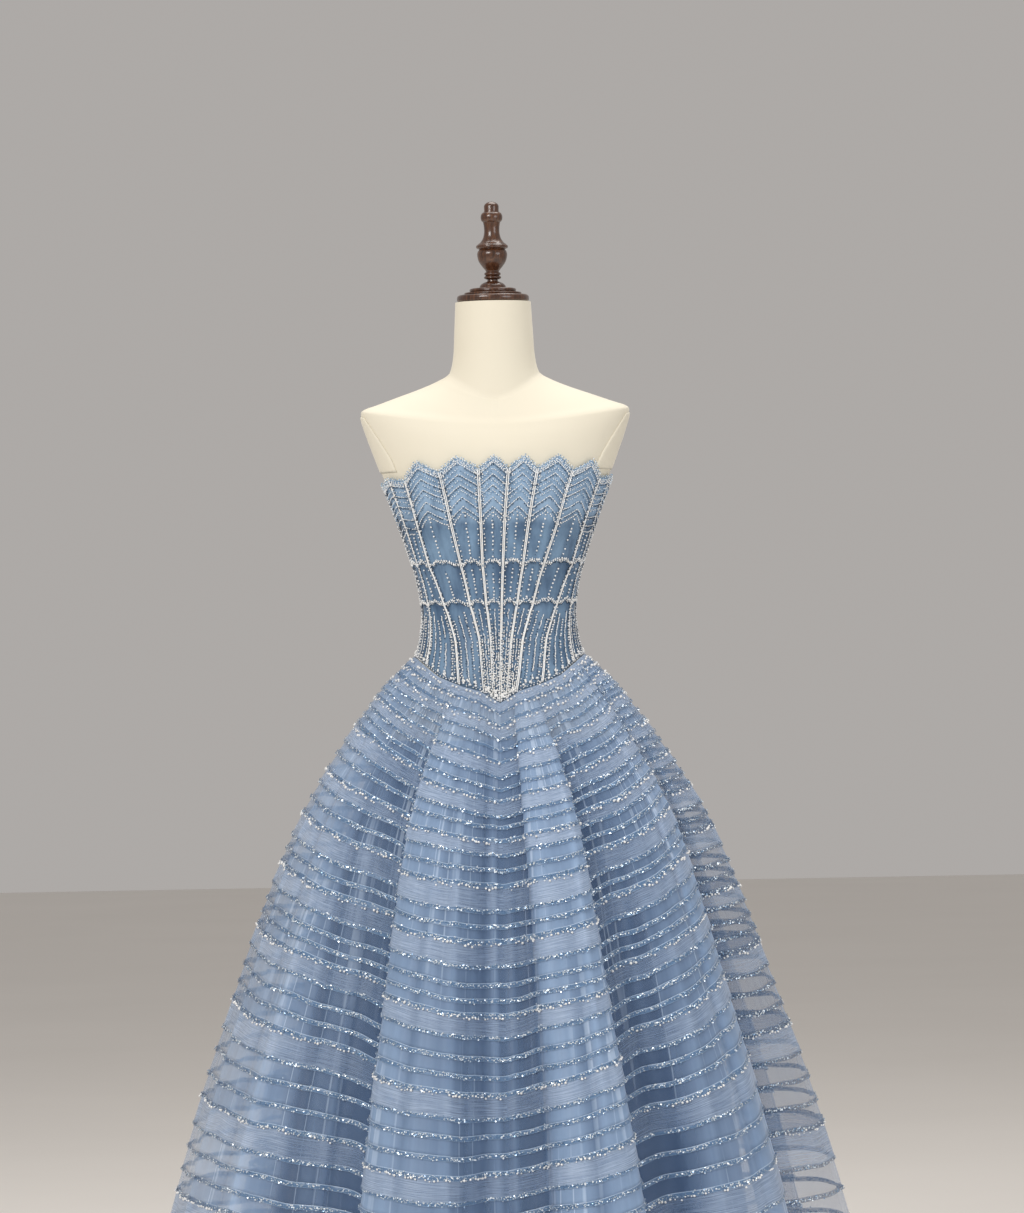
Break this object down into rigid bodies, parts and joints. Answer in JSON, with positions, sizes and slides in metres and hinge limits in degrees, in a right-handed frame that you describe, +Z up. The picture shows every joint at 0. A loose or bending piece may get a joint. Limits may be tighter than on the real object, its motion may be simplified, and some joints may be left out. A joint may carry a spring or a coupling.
{
  "type": "strapless ball gown on a limbless dress form with stand",
  "caption": "Strapless ball gown with a boned beaded corset bodice, V waist and full tiered organza skirt, worn by a limbless dress form with a turned wood cap and stand.",
  "frame": {"origin": "bottom centre of the box, on the floor under the stand", "axes": "+Z up, -Y is the front of the gown, +X is the wearer's left"},
  "size_m": [1.0783, 1.064, 1.708],
  "materials": {
    "form_canvas": "fine matt cream cotton stretched smooth over the padded form",
    "walnut": "dark turned walnut under satin lacquer",
    "pole_steel": "brushed",
    "bodice_satin": "dusty blue duchess satin, soft sheen",
    "organza": "sheer steel-blue organza with a silky glint",
    "crinkle_band": "fine crinkled silver-blue crepe ribbon",
    "underskirt_cloth": "deep blue lining, low sheen",
    "zip_metal": "small nickel-plated zip parts",
    "pearl": "pearlised white and champagne beads",
    "glass_bead": "icy blue and silver-lined glass beads",
    "sequin": "icy blue sequins and bugle beads"
  },
  "bodies": {
    "root": {"form_torso": "form_canvas", "form_arm_plate_left": "form_canvas", "form_arm_plate_right": "form_canvas", "neck_cap": "walnut", "finial": "walnut", "stand_base": "walnut", "stand_pole": "pole_steel", "bodice_centre_front_left": "bodice_satin", "bodice_inner_front_left": "bodice_satin", "bodice_outer_front_left": "bodice_satin", "bodice_side_front_left": "bodice_satin", "bodice_side_back_left": "bodice_satin", "bodice_outer_back_left": "bodice_satin", "bodice_centre_back_left": "bodice_satin", "bodice_centre_front_right": "bodice_satin", "bodice_inner_front_right": "bodice_satin", "bodice_outer_front_right": "bodice_satin", "bodice_side_front_right": "bodice_satin", "bodice_side_back_right": "bodice_satin", "bodice_outer_back_right": "bodice_satin", "bodice_centre_back_right": "bodice_satin", "zip_tape": "bodice_satin", "zip_slider": "zip_metal", "skirt_tier_01": "organza", "skirt_tier_02": "organza", "skirt_tier_03": "organza", "skirt_tier_04": "organza", "skirt_tier_05": "organza", "skirt_tier_06": "organza", "skirt_tier_07": "organza", "skirt_tier_08": "organza", "skirt_tier_09": "organza", "skirt_tier_10": "organza", "skirt_tier_11": "organza", "skirt_tier_12": "organza", "underskirt_panel_1": "underskirt_cloth", "underskirt_panel_2": "underskirt_cloth", "underskirt_panel_3": "underskirt_cloth", "underskirt_panel_4": "underskirt_cloth", "underskirt_panel_5": "underskirt_cloth", "underskirt_panel_6": "underskirt_cloth"},
    "zip_pull": {"zip_pull_tab": "zip_metal"}
  },
  "joints": [
    {"name": "zip_pull_hinge", "type": "hinge", "parent": "root", "child": "zip_pull", "pos_m": [-0.01442, 0.10871, 1.27566], "axis": [0.9982, 0.0598, 0], "range_deg": [0, 155]}
  ]
}
